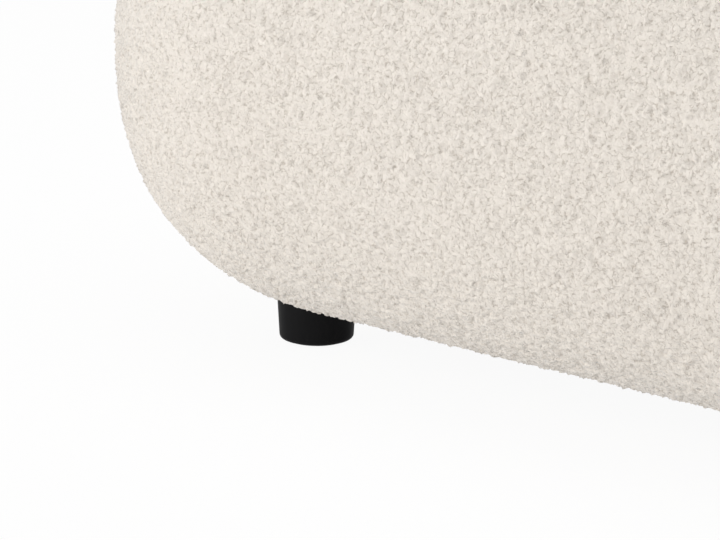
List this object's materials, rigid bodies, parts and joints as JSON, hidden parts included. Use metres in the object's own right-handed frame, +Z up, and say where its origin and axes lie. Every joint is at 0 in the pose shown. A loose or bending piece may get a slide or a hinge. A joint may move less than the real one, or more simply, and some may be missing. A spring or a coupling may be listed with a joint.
{
  "type": "sofa",
  "caption": "Low rounded sofa in looped cream fabric: thick seat block, back and arm bolsters, loose lumbar cushions and short turned black wooden feet.",
  "frame": {"origin": "on the floor under the middle of the sofa", "axes": "+X to the right seen from the front, +Y to the rear, +Z up; the front faces -Y"},
  "size_m": [2, 0.98, 0.7844],
  "materials": {
    "boucle": "cream looped pile",
    "black_wood": "turned hardwood in satin black lacquer",
    "glide_plastic": "moulded nylon",
    "zinc_steel": "bright zinc plate",
    "black_steel": "black powder coat",
    "foam": "open-cell upholstery foam and fibre",
    "felt": "needled felt",
    "dust_cloth": "black non-woven cloth",
    "webbing": "elastic upholstery webbing",
    "plywood": "sanded birch plywood",
    "pine": "planed softwood"
  },
  "bodies": {
    "sofa": {"arm_bolts": "zinc_steel", "arm_left_bottom_rail": "pine", "arm_left_cover": "boucle", "arm_left_foam": "foam", "arm_left_posts": "black_steel", "arm_left_stiles": "pine", "arm_left_top_rail": "pine", "arm_right_bottom_rail": "pine", "arm_right_cover": "boucle", "arm_right_foam": "foam", "arm_right_posts": "black_steel", "arm_right_stiles": "pine", "arm_right_top_rail": "pine", "back_bolts": "zinc_steel", "back_bottom_rail": "pine", "back_front_cover": "boucle", "back_front_foam": "foam", "back_posts": "black_steel", "back_rear_cover": "boucle", "back_rear_foam": "foam", "back_stiles": "pine", "back_top_rail": "pine", "back_webbing": "webbing", "base_board": "plywood", "corner_blocks": "pine", "dust_cover": "dust_cloth", "foot_front_left": "black_wood", "foot_front_right": "black_wood", "foot_glides": "glide_plastic", "foot_inserts": "zinc_steel", "foot_rear_left": "black_wood", "foot_rear_right": "black_wood", "foot_studs": "zinc_steel", "rail_dowels": "pine", "seat_border_foam": "foam", "seat_core_foam": "foam", "seat_cross_rails": "pine", "seat_front_band": "boucle", "seat_front_rail": "pine", "seat_left_rail": "pine", "seat_rear_band": "boucle", "seat_rear_rail": "pine", "seat_right_rail": "pine", "seat_springs": "zinc_steel", "seat_top_cover": "boucle", "spring_clips": "zinc_steel", "spring_felt": "felt"},
    "cushion_left": {"cushion_left_core": "foam", "cushion_left_front": "boucle", "cushion_left_rear": "boucle"},
    "cushion_right": {"cushion_right_core": "foam", "cushion_right_front": "boucle", "cushion_right_rear": "boucle"}
  },
  "joints": [
    {"name": "cushion_left_lift", "type": "slide", "parent": "sofa", "child": "cushion_left", "axis": [0, 0, 1], "range_m": [0, 0.4]},
    {"name": "cushion_right_lift", "type": "slide", "parent": "sofa", "child": "cushion_right", "axis": [0, 0, 1], "range_m": [0, 0.4]}
  ]
}
